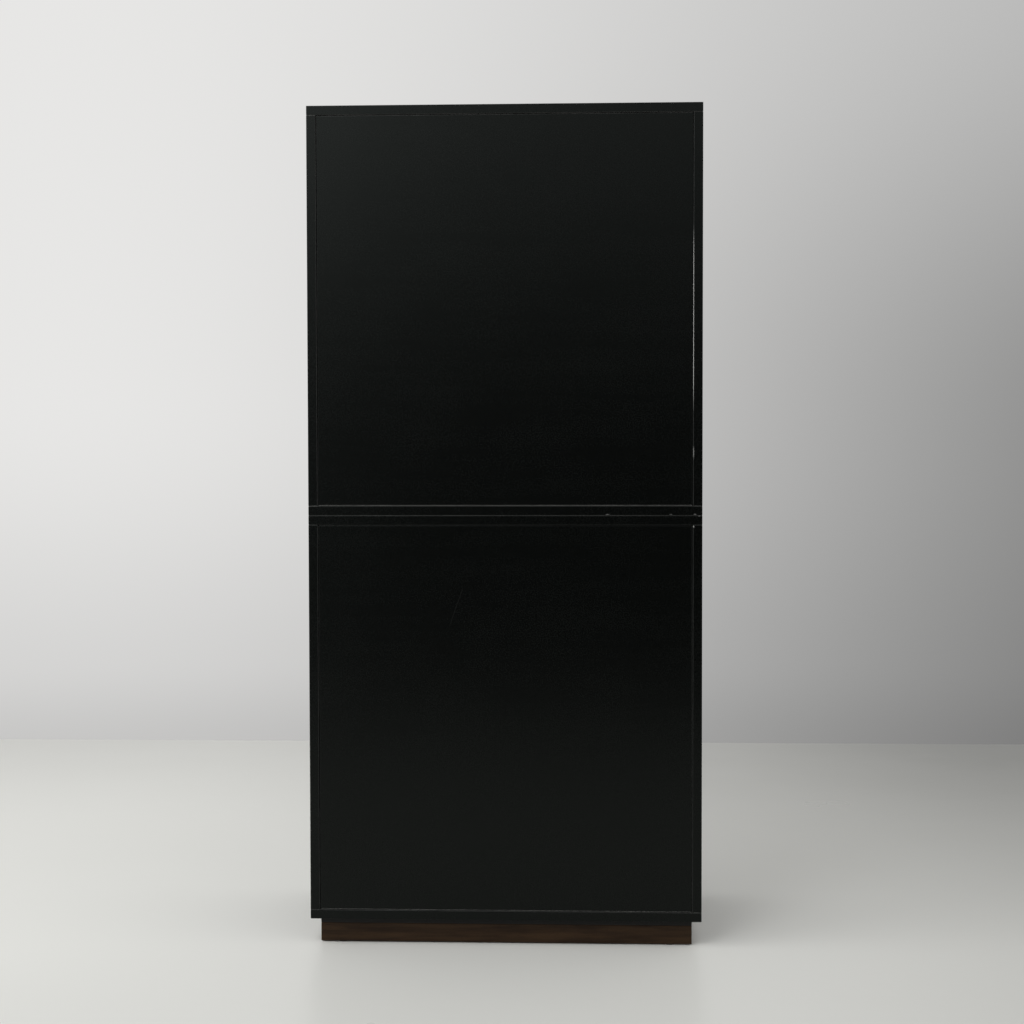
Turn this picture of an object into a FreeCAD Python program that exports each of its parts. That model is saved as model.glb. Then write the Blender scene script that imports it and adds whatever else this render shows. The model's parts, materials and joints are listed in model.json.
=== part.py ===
import FreeCAD, Part
import math
import os

# A tall black cabinet: two equal boxes stacked on a low brown plinth. Each box is four laminated boards
# joined by dowels, with a back in a rabbet, a shelf on pins, and a flush door that swings on two knife hinges
# at its left edge and is held by a touch latch.
# Millimetres, +Z up, front towards -Y, origin on the floor under the middle of the case.

Vector = FreeCAD.Vector
X, Y, Z = Vector(1, 0, 0), Vector(0, 1, 0), Vector(0, 0, 1)

# Case
WIDTH = 760.0
DEPTH = 440.0
BOX_HEIGHT = 787.0
BOARD = 18.0
EDGE_ROUND = 1.2
FIT = 0.05

# Door, set a little behind the boards' front edges, and shelf
DOOR_GAP = 1.2
DOOR_RECESS = 1.0
SHELF_SETBACK = 40.0
SHELF_SIDE_GAP = 1.5
SHELF_BACK_GAP = 4.0

# Back panel, in a rabbet half a board wide
BACK_THICKNESS = 6.0
BACK_RECESS = 1.0
BACK_SIDE_GAP = 0.5
BACK_SCREW_INSET = 4.5
BACK_SCREW_END = 110.0
RABBET_WIDTH = BOARD / 2
RABBET_DEPTH = BACK_THICKNESS + BACK_RECESS

# Dowels, three to a joint
DOWEL_RADIUS = 4.0
DOWEL_LENGTH = 32.0
DOWEL_IN_SIDE = 20.0
DOWEL_END_ROOM = 1.0
DOWEL_SPREAD = 160.0

# Shelf pins and their rows of holes
PIN_RADIUS = 2.5
PIN_DEPTH = 9.0
PIN_HOLE_DEPTH = 10.5
PEG_RADIUS = 4.5
PEG_LENGTH = 11.0
PEG_FLAT = 2.0
PIN_PITCH = 32.0
PIN_ROWS = 4
PIN_FRONT_Y = -140.0
PIN_BACK_Y = 150.0

# Knife hinges: the axis lies far from the door's edge and close behind its face, so that the door's corner
# clears the side board as it swings
HINGE_FROM_EDGE = 24.0
HINGE_FROM_FACE = 7.0
LEAF_WIDTH = 10.0
LEAF_REACH = 44.0
LEAF_THICKNESS = 2.5
HINGE_PIN_RADIUS = 2.5
HINGE_PIN_SHORT = 0.2
WASHER_RADIUS = 5.0
WASHER_BORE = 2.7
LEAF_SCREWS = (16.0, 36.0)

# Touch latch, under the top board near the door's free edge
LATCH_FROM_SIDE = 60.0
LATCH_DROP = 13.0
LATCH_FLANGE = Vector(46, 56, 3)
LATCH_BODY = Vector(17, 56, 22)
LATCH_ROUND = 1.5
LATCH_BACK_WALL = 4.0
LATCH_SCREW_OFFSET = 16.0
PLUNGER_RADIUS = 4.0
PLUNGER_CLEARANCE = 0.3
PLUNGER_OUT = 8.0
PLUNGER_IN = 32.0
MAGNET_LENGTH = 3.0
STRIKE_RADIUS = 8.0
STRIKE_THICKNESS = 1.5
STRIKE_AIR = 0.3

# Return spring of the latch
SPRING_RADIUS = 3.2
SPRING_WIRE = 0.4
SPRING_TURNS = 8
SPRING_END_ROOM = 0.6
ARCS_PER_TURN = 4
SPRING_SAMPLES = 24

# Connector bolts that hold the two boxes together
CONNECTOR_X = 250.0
CONNECTOR_Y = 120.0
CONNECTOR_HEAD_RADIUS = 7.0
CONNECTOR_HEAD = 1.5
SLEEVE_RADIUS = 4.0
SLEEVE_LENGTH = 22.0
SLEEVE_BORE_LENGTH = 20.0
BOLT_RADIUS = 3.0
BOLT_LENGTH = 30.0
SOCKET_RADIUS = 2.2
SOCKET_DEPTH = 2.0

# Plinth
PLINTH_HEIGHT = 50.0
PLINTH_INSET = 18.0
PLINTH_TOP = 12.0
GLIDE_THICKNESS = 2.0
GLIDE_RADIUS = 8.0
GLIDE_INSET = 42.0
NAIL_RADIUS = 1.2
NAIL_LENGTH = 12.0
CORNER_BLOCK = 45.0
CORNER_BLOCK_HEIGHT = 30.0
FIXING_X = 300.0
FIXING_Y = 140.0
RAIL_SCREW_X = 280.0
RAIL_SCREW_Y = 100.0

# Screws: shank diameter and length
SMALL_SCREW = (3.0, 14.0)
BACK_SCREW = (3.0, 16.0)
FIXING_SCREW = (4.0, 28.0)
RAIL_SCREW = (4.0, 38.0)
SCREW_TIP_RADIUS = 0.3

# Cross recess in a screw's head, as shares of the shank diameter
RECESS_LENGTH = 1.1
RECESS_WIDTH = 0.25
RECESS_DEPTH = 0.4

# Places worked out from the sizes above
HALF_WIDTH = WIDTH / 2
FRONT = -DEPTH / 2
BACK = DEPTH / 2
INNER_X = HALF_WIDTH - BOARD
DOOR_FACE = FRONT + DOOR_RECESS
DOOR_BACK = DOOR_FACE + BOARD
DOOR_X = INNER_X - DOOR_GAP
HINGE_X = -DOOR_X + HINGE_FROM_EDGE
HINGE_Y = DOOR_FACE + HINGE_FROM_FACE
LATCH_X = INNER_X - LATCH_FROM_SIDE
PLUNGER_TIP = DOOR_BACK + STRIKE_THICKNESS + STRIKE_AIR
LATCH_FRONT = PLUNGER_TIP + PLUNGER_OUT
LATCH_BORE_END = LATCH_FRONT + LATCH_BODY.y - LATCH_BACK_WALL
PLUNGER_END = LATCH_FRONT + PLUNGER_IN
RAIL_HEIGHT = PLINTH_HEIGHT - PLINTH_TOP - GLIDE_THICKNESS
RAIL_TOP = GLIDE_THICKNESS + RAIL_HEIGHT
PLINTH_X = HALF_WIDTH - PLINTH_INSET
PLINTH_Y = DEPTH / 2 - PLINTH_INSET


class Tier:
    """One box of the stack: its name and the levels that its pieces are set from."""

    def __init__(self, name, base):
        self.name = name
        self.base = base
        self.top = base + BOX_HEIGHT
        self.floor = base + BOARD
        self.ceiling = self.top - BOARD
        self.door_low = self.floor + DOOR_GAP
        self.door_high = self.ceiling - DOOR_GAP
        self.shelf_low = (self.floor + self.ceiling - BOARD) / 2
        self.latch_z = self.ceiling - LATCH_DROP

    def hinge_ends(self):
        """The top and bottom hinge: name, level of the case board's face, and the way into that board."""
        return (("top", self.ceiling, 1), ("bottom", self.floor, -1))


LOWER = Tier("lower", PLINTH_HEIGHT)
UPPER = Tier("upper", PLINTH_HEIGHT + BOX_HEIGHT)
TIERS = (LOWER, UPPER)


# Basic solids

def block(low, high):
    """A plain box between two corners."""
    size = high - low
    return Part.makeBox(size.x, size.y, size.z, low)


def board(low, high):
    """A box with every edge rounded, as an edged and eased board is."""
    solid = block(low, high)
    return solid.makeFillet(EDGE_ROUND, solid.Edges)


def rod(radius, start, direction, length):
    """A cylinder from start along direction."""
    return Part.makeCylinder(radius, length, start, direction)


def cut(solid, tools):
    """The solid less all the tools."""
    return solid.cut(tools)


def fuse(first, *others):
    """One solid from several that touch."""
    return first.fuse(list(others)).removeSplitter()


def hexagon_prism(radius, start, direction, length):
    """A six-sided prism from start along direction."""
    corners = [
        Vector(radius * math.cos(k * math.pi / 3), radius * math.sin(k * math.pi / 3), 0) for k in range(7)
    ]
    prism = Part.Face(Part.makePolygon(corners)).extrude(Z * length)
    prism.Placement = FreeCAD.Placement(start, FreeCAD.Rotation(Z, direction))
    return prism


# Screws

def screw(head, direction, size):
    """A countersunk wood screw: head is the middle of its flat head, direction the way it is driven."""
    diameter, length = size
    head_height = diameter / 2
    tip_start = length - diameter
    body = fuse(
        Part.makeCone(diameter, diameter / 2, head_height, head, direction),
        rod(diameter / 2, head + direction * head_height, direction, tip_start - head_height),
        Part.makeCone(diameter / 2, SCREW_TIP_RADIUS, diameter, head + direction * tip_start, direction),
    )
    return cut(body, cross_recess(head, direction, diameter))


def cross_recess(head, direction, diameter):
    """The two crossed slots of a screw's head."""
    length, width = RECESS_LENGTH * diameter, RECESS_WIDTH * diameter
    depth = RECESS_DEPTH * diameter
    slots = [
        Part.makeBox(length, width, depth, Vector(-length / 2, -width / 2, 0)),
        Part.makeBox(width, length, depth, Vector(-width / 2, -length / 2, 0)),
    ]
    for slot in slots:
        slot.Placement = FreeCAD.Placement(head, FreeCAD.Rotation(Z, direction))
    return slots


def screw_hole(head, direction, size):
    """The countersunk hole that a screw sits in."""
    diameter, length = size
    sink = Part.makeCone(diameter + FIT, diameter / 2 + FIT, diameter / 2, head, direction)
    return fuse(sink, rod(diameter / 2 + FIT, head, direction, length + FIT))


def screws(places, size):
    """A group of screws, one for each (head, direction)."""
    return Part.makeCompound([screw(head, direction, size) for head, direction in places])


def screw_holes(places, size):
    """The holes for such a group."""
    return [screw_hole(head, direction, size) for head, direction in places]


# Places of the fasteners

def dowel_places(tier):
    """Middle of each dowel's joint face, and which way its side board lies from there."""
    places = []
    for level, into_side in ((tier.floor, Z), (tier.ceiling, -Z)):
        for side in (-1, 1):
            for y in (-DOWEL_SPREAD, 0, DOWEL_SPREAD):
                places.append((Vector(side * (INNER_X + BOARD / 2), y, level), into_side))
    return places


def back_screw_places(tier):
    """Screws round the edge of a back panel, driven forwards into the rabbet's shoulders."""
    face_y = BACK - BACK_RECESS
    edge_x = INNER_X + RABBET_WIDTH - BACK_SIDE_GAP - BACK_SCREW_INSET
    edge_z = RABBET_WIDTH - BACK_SIDE_GAP - BACK_SCREW_INSET
    across = INNER_X - BACK_SCREW_END
    middle = (tier.floor + tier.ceiling) / 2
    heads = [
        Vector(x, face_y, z)
        for z in (tier.floor - edge_z, tier.ceiling + edge_z)
        for x in (-across, -across / 3, across / 3, across)
    ]
    heads += [
        Vector(x, face_y, z)
        for x in (-edge_x, edge_x)
        for z in (tier.floor + BACK_SCREW_END, middle, tier.ceiling - BACK_SCREW_END)
    ]
    return [(head, -Y) for head in heads]


def case_leaf_screw_places(tier):
    """Screws through the hinge leaves into the top and bottom boards."""
    return [
        (Vector(HINGE_X + reach, HINGE_Y, level), Z * into)
        for _, level, into in tier.hinge_ends()
        for reach in LEAF_SCREWS
    ]


def door_leaf_screw_places(tier):
    """Screws through the hinge leaves into the door's top and bottom edges."""
    return [
        (Vector(HINGE_X + reach, HINGE_Y, level - into * DOOR_GAP), Z * -into)
        for _, level, into in tier.hinge_ends()
        for reach in LEAF_SCREWS
    ]


def latch_screw_places(tier):
    """Two screws up through the latch's flange."""
    middle = Vector(LATCH_X, LATCH_FRONT + LATCH_FLANGE.y / 2, tier.ceiling - LATCH_FLANGE.z)
    return [(middle + X * side * LATCH_SCREW_OFFSET, Z) for side in (-1, 1)]


def strike_screw_places(tier):
    """One screw through the strike plate into the back of the door."""
    return [(Vector(LATCH_X, DOOR_BACK + STRIKE_THICKNESS, tier.latch_z), -Y)]


def connector_places():
    """Plan places of the bolts between the two boxes."""
    return [(x, y) for x in (-CONNECTOR_X, CONNECTOR_X) for y in (-CONNECTOR_Y, CONNECTOR_Y)]


def fixing_screw_places():
    """Screws down through the lower box's bottom board into the plinth."""
    heads = [(x, y) for x in (-FIXING_X, 0, FIXING_X) for y in (-FIXING_Y, FIXING_Y)]
    return [(Vector(x, y, LOWER.floor), -Z) for x, y in heads]


def rail_screw_places():
    """Screws down through the plinth's top board into its rails."""
    rail_y = PLINTH_Y - BOARD / 2
    rail_x = PLINTH_X - BOARD / 2
    heads = [(x, y) for x in (-RAIL_SCREW_X, 0, RAIL_SCREW_X) for y in (-rail_y, rail_y)]
    heads += [(x, y) for x in (-rail_x, rail_x) for y in (-RAIL_SCREW_Y, RAIL_SCREW_Y)]
    return [(Vector(x, y, PLINTH_HEIGHT), -Z) for x, y in heads]


# Boards of one box

def dowel_start(place):
    """Where a dowel begins, inside the top or bottom board."""
    joint, into_side = place
    return joint - into_side * (DOWEL_LENGTH - DOWEL_IN_SIDE)


def dowels(tier):
    """The dowels of a box, as one group."""
    solids = [rod(DOWEL_RADIUS, dowel_start(p), p[1], DOWEL_LENGTH) for p in dowel_places(tier)]
    return Part.makeCompound(solids)


def dowel_holes(tier):
    """Each dowel's hole, with room for glue at both ends."""
    length = DOWEL_LENGTH + 2 * DOWEL_END_ROOM
    return [
        rod(DOWEL_RADIUS + FIT, dowel_start(place) - place[1] * DOWEL_END_ROOM, place[1], length)
        for place in dowel_places(tier)
    ]


def rabbet(tier):
    """The space cut round the back of a box for its back panel."""
    reach = INNER_X + RABBET_WIDTH
    return block(
        Vector(-reach, BACK - RABBET_DEPTH, tier.floor - RABBET_WIDTH),
        Vector(reach, BACK + RABBET_DEPTH, tier.ceiling + RABBET_WIDTH),
    )


def pin_levels(tier):
    """Heights of the shelf pin holes: the one in use, and a few above and below it."""
    used = tier.shelf_low - PEG_FLAT
    return [used + k * PIN_PITCH for k in range(-PIN_ROWS, PIN_ROWS + 1)]


def pin_holes(tier, side):
    """Two columns of blind holes in the inner face of one side board."""
    return [
        rod(PIN_RADIUS + FIT, Vector(side * INNER_X, y, z), X * side, PIN_HOLE_DEPTH)
        for y in (PIN_FRONT_Y, PIN_BACK_Y)
        for z in pin_levels(tier)
    ]


def leaf_mortises(tier):
    """Recesses for the hinge leaves in the top and bottom boards."""
    return [leaf_plate(level, into * LEAF_THICKNESS, FIT) for _, level, into in tier.hinge_ends()]


def case_hardware_holes(tier):
    """All that the hinges, the latch, the dowels and the back take out of the top and bottom boards."""
    return [
        rabbet(tier),
        *dowel_holes(tier),
        *leaf_mortises(tier),
        *screw_holes(case_leaf_screw_places(tier), SMALL_SCREW),
        *screw_holes(latch_screw_places(tier), SMALL_SCREW),
        *screw_holes(back_screw_places(tier), BACK_SCREW),
    ]


def connector_holes():
    """Holes for the bolts between the two boxes, through both boards."""
    return [
        rod(SLEEVE_RADIUS + FIT, Vector(x, y, LOWER.ceiling), Z, 2 * BOARD) for x, y in connector_places()
    ]


def top_panel(tier):
    """The board that caps a box."""
    solid = board(Vector(-HALF_WIDTH, FRONT, tier.ceiling), Vector(HALF_WIDTH, BACK, tier.top))
    holes = case_hardware_holes(tier)
    return cut(solid, holes + connector_holes() if tier is LOWER else holes)


def bottom_panel(tier):
    """The board under a box."""
    solid = board(Vector(-HALF_WIDTH, FRONT, tier.base), Vector(HALF_WIDTH, BACK, tier.floor))
    holes = case_hardware_holes(tier)
    if tier is UPPER:
        return cut(solid, holes + connector_holes())
    return cut(solid, holes + screw_holes(fixing_screw_places(), FIXING_SCREW))


def side_panel(tier, side):
    """A side board, between the top and bottom boards: side is -1 at the left and 1 at the right."""
    inner, outer = sorted((side * INNER_X, side * HALF_WIDTH))
    solid = board(Vector(inner, FRONT, tier.floor), Vector(outer, BACK, tier.ceiling))
    holes = [rabbet(tier), *dowel_holes(tier), *pin_holes(tier, side)]
    return cut(solid, holes + screw_holes(back_screw_places(tier), BACK_SCREW))


def back_panel(tier):
    """The thin back, lying in the rabbet."""
    reach = RABBET_WIDTH - BACK_SIDE_GAP
    solid = block(
        Vector(-INNER_X - reach, BACK - RABBET_DEPTH, tier.floor - reach),
        Vector(INNER_X + reach, BACK - BACK_RECESS, tier.ceiling + reach),
    )
    return cut(solid, screw_holes(back_screw_places(tier), BACK_SCREW))


def shelf(tier):
    """The adjustable shelf."""
    reach = INNER_X - SHELF_SIDE_GAP
    back = BACK - RABBET_DEPTH - SHELF_BACK_GAP
    return board(
        Vector(-reach, FRONT + SHELF_SETBACK, tier.shelf_low), Vector(reach, back, tier.shelf_low + BOARD)
    )


def shelf_pin(side, y, z):
    """A shelf pin: a shank in the side board and a peg with a flat top that the shelf lies on."""
    face = Vector(side * INNER_X, y, z)
    shank = rod(PIN_RADIUS, face, X * side, PIN_DEPTH)
    peg = rod(PEG_RADIUS, face, X * -side, PEG_LENGTH)
    above_low = Vector(-HALF_WIDTH, y - PEG_RADIUS, z + PEG_FLAT)
    above = block(above_low, Vector(HALF_WIDTH, y + PEG_RADIUS, z + PEG_RADIUS))
    return fuse(shank, cut(peg, [above]))


def shelf_pins(tier):
    """The four pins under a shelf."""
    level = tier.shelf_low - PEG_FLAT
    return Part.makeCompound([shelf_pin(s, y, level) for s in (-1, 1) for y in (PIN_FRONT_Y, PIN_BACK_Y)])


# Door, hinges and latch

def leaf_plate(level, height, grow=0.0):
    """A hinge leaf's round-ended plate, from a level by height, which is negative downwards."""
    axis_end = Vector(HINGE_X, HINGE_Y, level)
    far_end = axis_end + X * LEAF_REACH
    radius = LEAF_WIDTH / 2 + grow
    half, nose = Y * radius, X * radius
    outline = Part.Wire([
        Part.Arc(axis_end + half, axis_end - nose, axis_end - half).toShape(),
        Part.makeLine(axis_end - half, far_end - half),
        Part.Arc(far_end - half, far_end + nose, far_end + half).toShape(),
        Part.makeLine(far_end + half, axis_end + half),
    ])
    return Part.Face(outline).extrude(Z * height)


def hinge_case_leaf(tier, level, into):
    """The leaf let into the case, with the bore that the pin turns in."""
    plate = leaf_plate(level, into * LEAF_THICKNESS)
    bore = rod(HINGE_PIN_RADIUS + FIT, Vector(HINGE_X, HINGE_Y, level), Z * into, LEAF_THICKNESS)
    return cut(plate, [bore, *screw_holes(case_leaf_screw_places(tier), SMALL_SCREW)])


def hinge_door_leaf(tier, level, into):
    """The leaf let into the door's edge, with the pin that stands up from it."""
    door_edge = level - into * DOOR_GAP
    holes = screw_holes(door_leaf_screw_places(tier), SMALL_SCREW)
    plate = cut(leaf_plate(door_edge, -into * LEAF_THICKNESS), holes)
    pin_length = DOOR_GAP + LEAF_THICKNESS - HINGE_PIN_SHORT
    return fuse(plate, rod(HINGE_PIN_RADIUS, Vector(HINGE_X, HINGE_Y, door_edge), Z * into, pin_length))


def hinge_washers(tier):
    """A washer on each hinge pin, which sets the gap above and below the door."""
    rings = []
    for _, level, into in tier.hinge_ends():
        start = Vector(HINGE_X, HINGE_Y, level - into * (DOOR_GAP - FIT))
        length = DOOR_GAP - 2 * FIT
        bore = rod(WASHER_BORE, start, Z * into, length)
        rings.append(cut(rod(WASHER_RADIUS, start, Z * into, length), [bore]))
    return Part.makeCompound(rings)


def door(tier):
    """The inset door, with recesses for its hinge leaves and a hole for the strike's screw."""
    slab = board(Vector(-DOOR_X, DOOR_FACE, tier.door_low), Vector(DOOR_X, DOOR_BACK, tier.door_high))
    mortises = [
        leaf_plate(level - into * DOOR_GAP, -into * LEAF_THICKNESS, FIT)
        for _, level, into in tier.hinge_ends()
    ]
    holes = screw_holes(door_leaf_screw_places(tier), SMALL_SCREW)
    return cut(slab, mortises + holes + screw_holes(strike_screw_places(tier), SMALL_SCREW))


def strike_plate(tier):
    """The steel disc on the door that the latch's magnet holds."""
    disc = rod(STRIKE_RADIUS, Vector(LATCH_X, DOOR_BACK, tier.latch_z), Y, STRIKE_THICKNESS)
    return cut(disc, screw_holes(strike_screw_places(tier), SMALL_SCREW))


def latch_housing(tier):
    """The latch's case: a flange against the top board and a body with a blind bore for the plunger."""
    flange_low = Vector(LATCH_X - LATCH_FLANGE.x / 2, LATCH_FRONT, tier.ceiling - LATCH_FLANGE.z)
    body_low = Vector(LATCH_X - LATCH_BODY.x / 2, LATCH_FRONT, tier.ceiling - LATCH_BODY.z)
    flange = block(flange_low, flange_low + LATCH_FLANGE)
    upright = [e for e in flange.Edges if abs(e.tangentAt(e.FirstParameter).z) > 0.5]
    flange = flange.makeFillet(2 * LATCH_ROUND, upright)
    body = block(body_low, body_low + LATCH_BODY)
    under = [e for e in body.Edges if e.BoundBox.ZMax < tier.ceiling - LATCH_FLANGE.z]
    body = body.makeFillet(LATCH_ROUND, under)
    bore_start = Vector(LATCH_X, LATCH_FRONT, tier.latch_z)
    bore = rod(PLUNGER_RADIUS + PLUNGER_CLEARANCE, bore_start, Y, LATCH_BORE_END - LATCH_FRONT)
    return cut(fuse(flange, body), [bore, *screw_holes(latch_screw_places(tier), SMALL_SCREW)])


def latch_magnet(tier):
    """The magnet on the plunger's nose."""
    return rod(PLUNGER_RADIUS, Vector(LATCH_X, PLUNGER_TIP, tier.latch_z), Y, MAGNET_LENGTH)


def latch_plunger(tier):
    """The rod that slides in the latch."""
    start = Vector(LATCH_X, PLUNGER_TIP + MAGNET_LENGTH, tier.latch_z)
    return rod(PLUNGER_RADIUS, start, Y, PLUNGER_END - start.y)


def arc_edge(start, tangent, end):
    """The arc from start, leaving along tangent, to end."""
    chord = end - start
    turn = tangent.getAngle(chord)
    middle = start + chord * 0.5
    bulge = start + tangent * (chord.Length / 2 / math.cos(turn)) - middle
    bulge.normalize()
    return Part.Arc(start, middle + bulge * (chord.Length / 2 * math.tan(turn / 2)), end).toShape()


def biarc(start, start_tangent, end, end_tangent):
    """Two arcs that join two points, each with its tangent."""
    span = end - start
    lean = span.dot(start_tangent + end_tangent)
    spread = 2 * (1 - start_tangent.dot(end_tangent))
    reach = (math.sqrt(lean * lean + spread * span.dot(span)) - lean) / spread
    meet = (start + end + (start_tangent - end_tangent) * reach) * 0.5
    meet_tangent = end - end_tangent * reach - start - start_tangent * reach
    meet_tangent.normalize()
    return [arc_edge(start, start_tangent, meet), arc_edge(meet, meet_tangent, end)]


def least_gap(points, apart, radius):
    """The least gap of a tube to itself, between points of its path that lie some way apart along it."""
    distances = [p.distanceToPoint(q) for i, p in enumerate(points) for q in points[i + apart:]]
    return min(distances) - 2 * radius


def latch_spring(tier):
    """The coil spring behind the plunger, one unbroken wire."""
    low = PLUNGER_END + SPRING_END_ROOM
    rise = (LATCH_BORE_END - SPRING_END_ROOM - low) / SPRING_TURNS

    def point(turns):
        angle = 2 * math.pi * turns
        across, upwards = SPRING_RADIUS * math.cos(angle), SPRING_RADIUS * math.sin(angle)
        return Vector(LATCH_X + across, low + rise * turns, tier.latch_z + upwards)

    def tangent(turns):
        angle = 2 * math.pi * turns
        along = 2 * math.pi * SPRING_RADIUS
        direction = Vector(-along * math.sin(angle), rise, along * math.cos(angle))
        return direction.normalize()

    steps = [k / ARCS_PER_TURN for k in range(SPRING_TURNS * ARCS_PER_TURN + 1)]
    edges = []
    for a, b in zip(steps, steps[1:]):
        edges += biarc(point(a), tangent(a), point(b), tangent(b))
    samples = [point(k / SPRING_SAMPLES) for k in range(SPRING_TURNS * SPRING_SAMPLES + 1)]
    gap = least_gap(samples, SPRING_SAMPLES // 2, SPRING_WIRE)
    print(f"{tier.name} spring: least gap to itself {gap:.2f} mm")
    section = Part.Wire([Part.Circle(point(0), tangent(0), SPRING_WIRE).toShape()])
    return Part.Wire(edges).makePipeShell([section], True, False)


# Between the boxes

def connector_sleeves():
    """Sleeve nuts, put in from the upper box's floor."""
    sleeves = []
    for x, y in connector_places():
        top = Vector(x, y, UPPER.floor)
        head = rod(CONNECTOR_HEAD_RADIUS, top, Z, CONNECTOR_HEAD)
        body = fuse(head, rod(SLEEVE_RADIUS, top, -Z, SLEEVE_LENGTH))
        thread = rod(BOLT_RADIUS + FIT, top - Z * SLEEVE_LENGTH, Z, SLEEVE_BORE_LENGTH)
        socket = hexagon_prism(SOCKET_RADIUS, top + Z * CONNECTOR_HEAD, -Z, SOCKET_DEPTH)
        sleeves.append(cut(body, [thread, socket]))
    return Part.makeCompound(sleeves)


def connector_bolts():
    """Bolts, put in from the lower box's ceiling up into the sleeve nuts."""
    bolts = []
    for x, y in connector_places():
        seat = Vector(x, y, LOWER.ceiling)
        head = rod(CONNECTOR_HEAD_RADIUS, seat, -Z, CONNECTOR_HEAD)
        body = fuse(head, rod(BOLT_RADIUS, seat, Z, BOLT_LENGTH))
        bolts.append(cut(body, [hexagon_prism(SOCKET_RADIUS, seat - Z * CONNECTOR_HEAD, Z, SOCKET_DEPTH)]))
    return Part.makeCompound(bolts)


# Plinth

def glide_places():
    """Plan places of the glides, under the front and back rails."""
    x, y = PLINTH_X - GLIDE_INSET, PLINTH_Y - BOARD / 2
    return [(sx * x, sy * y) for sx in (-1, 1) for sy in (-1, 1)]


def plinth_rail(low, high):
    """One rail of the plinth, with the holes of the screws and glides that enter it."""
    depth = GLIDE_THICKNESS + NAIL_LENGTH
    nail_holes = [rod(NAIL_RADIUS + FIT, Vector(x, y, 0), Z, depth) for x, y in glide_places()]
    return cut(board(low, high), nail_holes + screw_holes(rail_screw_places(), RAIL_SCREW))


def plinth_rails():
    """The four rails: front and back run full width, and the sides lie between them."""
    inner_y = PLINTH_Y - BOARD
    rails = {}
    for name, side in (("front", -1), ("back", 1)):
        near, far = sorted((side * inner_y, side * PLINTH_Y))
        low, high = Vector(-PLINTH_X, near, GLIDE_THICKNESS), Vector(PLINTH_X, far, RAIL_TOP)
        rails[f"plinth_{name}_rail"] = plinth_rail(low, high)
    for name, side in (("left", -1), ("right", 1)):
        near, far = sorted((side * (PLINTH_X - BOARD), side * PLINTH_X))
        low, high = Vector(near, -inner_y, GLIDE_THICKNESS), Vector(far, inner_y, RAIL_TOP)
        rails[f"plinth_{name}_rail"] = plinth_rail(low, high)
    return rails


def plinth_top_board():
    """The black board on the rails, which shows as a dark band over the brown."""
    solid = board(Vector(-PLINTH_X, -PLINTH_Y, RAIL_TOP), Vector(PLINTH_X, PLINTH_Y, PLINTH_HEIGHT))
    holes = screw_holes(fixing_screw_places(), FIXING_SCREW) + screw_holes(rail_screw_places(), RAIL_SCREW)
    return cut(solid, holes)


def plinth_corner_blocks():
    """Three-cornered glue blocks inside the plinth's corners."""
    x, y = PLINTH_X - BOARD, PLINTH_Y - BOARD
    low = RAIL_TOP - CORNER_BLOCK_HEIGHT
    blocks = []
    for sx in (-1, 1):
        for sy in (-1, 1):
            corner = Vector(sx * x, sy * y, low)
            outline = [corner, corner - X * sx * CORNER_BLOCK, corner - Y * sy * CORNER_BLOCK, corner]
            blocks.append(Part.Face(Part.makePolygon(outline)).extrude(Z * CORNER_BLOCK_HEIGHT))
    return Part.makeCompound(blocks)


def plinth_glides():
    """Nail-on glides that the cabinet stands on."""
    glides = []
    for x, y in glide_places():
        pad = rod(GLIDE_RADIUS, Vector(x, y, 0), Z, GLIDE_THICKNESS)
        glides.append(fuse(pad, rod(NAIL_RADIUS, Vector(x, y, GLIDE_THICKNESS), Z, NAIL_LENGTH)))
    return Part.makeCompound(glides)


# The whole cabinet

def tier_parts(tier):
    """Every node of one box."""
    parts = {
        "top_panel": top_panel(tier),
        "bottom_panel": bottom_panel(tier),
        "left_side": side_panel(tier, -1),
        "right_side": side_panel(tier, 1),
        "back_panel": back_panel(tier),
        "back_screws": screws(back_screw_places(tier), BACK_SCREW),
        "carcass_dowels": dowels(tier),
        "shelf": shelf(tier),
        "shelf_pins": shelf_pins(tier),
        "door": door(tier),
        "hinge_washers": hinge_washers(tier),
        "hinge_case_screws": screws(case_leaf_screw_places(tier), SMALL_SCREW),
        "hinge_door_screws": screws(door_leaf_screw_places(tier), SMALL_SCREW),
        "latch_housing": latch_housing(tier),
        "latch_plunger": latch_plunger(tier),
        "latch_magnet": latch_magnet(tier),
        "latch_spring": latch_spring(tier),
        "latch_screws": screws(latch_screw_places(tier), SMALL_SCREW),
        "strike_plate": strike_plate(tier),
        "strike_screw": screws(strike_screw_places(tier), SMALL_SCREW),
    }
    for end, level, into in tier.hinge_ends():
        parts[f"{end}_hinge_case_leaf"] = hinge_case_leaf(tier, level, into)
        parts[f"{end}_hinge_door_leaf"] = hinge_door_leaf(tier, level, into)
    return {f"{tier.name}_{name}": shape for name, shape in parts.items()}


def all_parts():
    """Every node of the cabinet, by name."""
    parts = {}
    for tier in TIERS:
        parts.update(tier_parts(tier))
    parts["connector_sleeves"] = connector_sleeves()
    parts["connector_bolts"] = connector_bolts()
    parts.update(plinth_rails())
    parts["plinth_top_board"] = plinth_top_board()
    parts["plinth_corner_blocks"] = plinth_corner_blocks()
    parts["plinth_rail_screws"] = screws(rail_screw_places(), RAIL_SCREW)
    parts["plinth_fixing_screws"] = screws(fixing_screw_places(), FIXING_SCREW)
    parts["plinth_glides"] = plinth_glides()
    return parts


def main():
    os.makedirs("parts", exist_ok=True)
    for name, shape in all_parts().items():
        shape.exportStep(f"parts/{name}.step")


main()
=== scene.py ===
import json
import math

import bpy
from mathutils import Matrix, Vector


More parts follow.
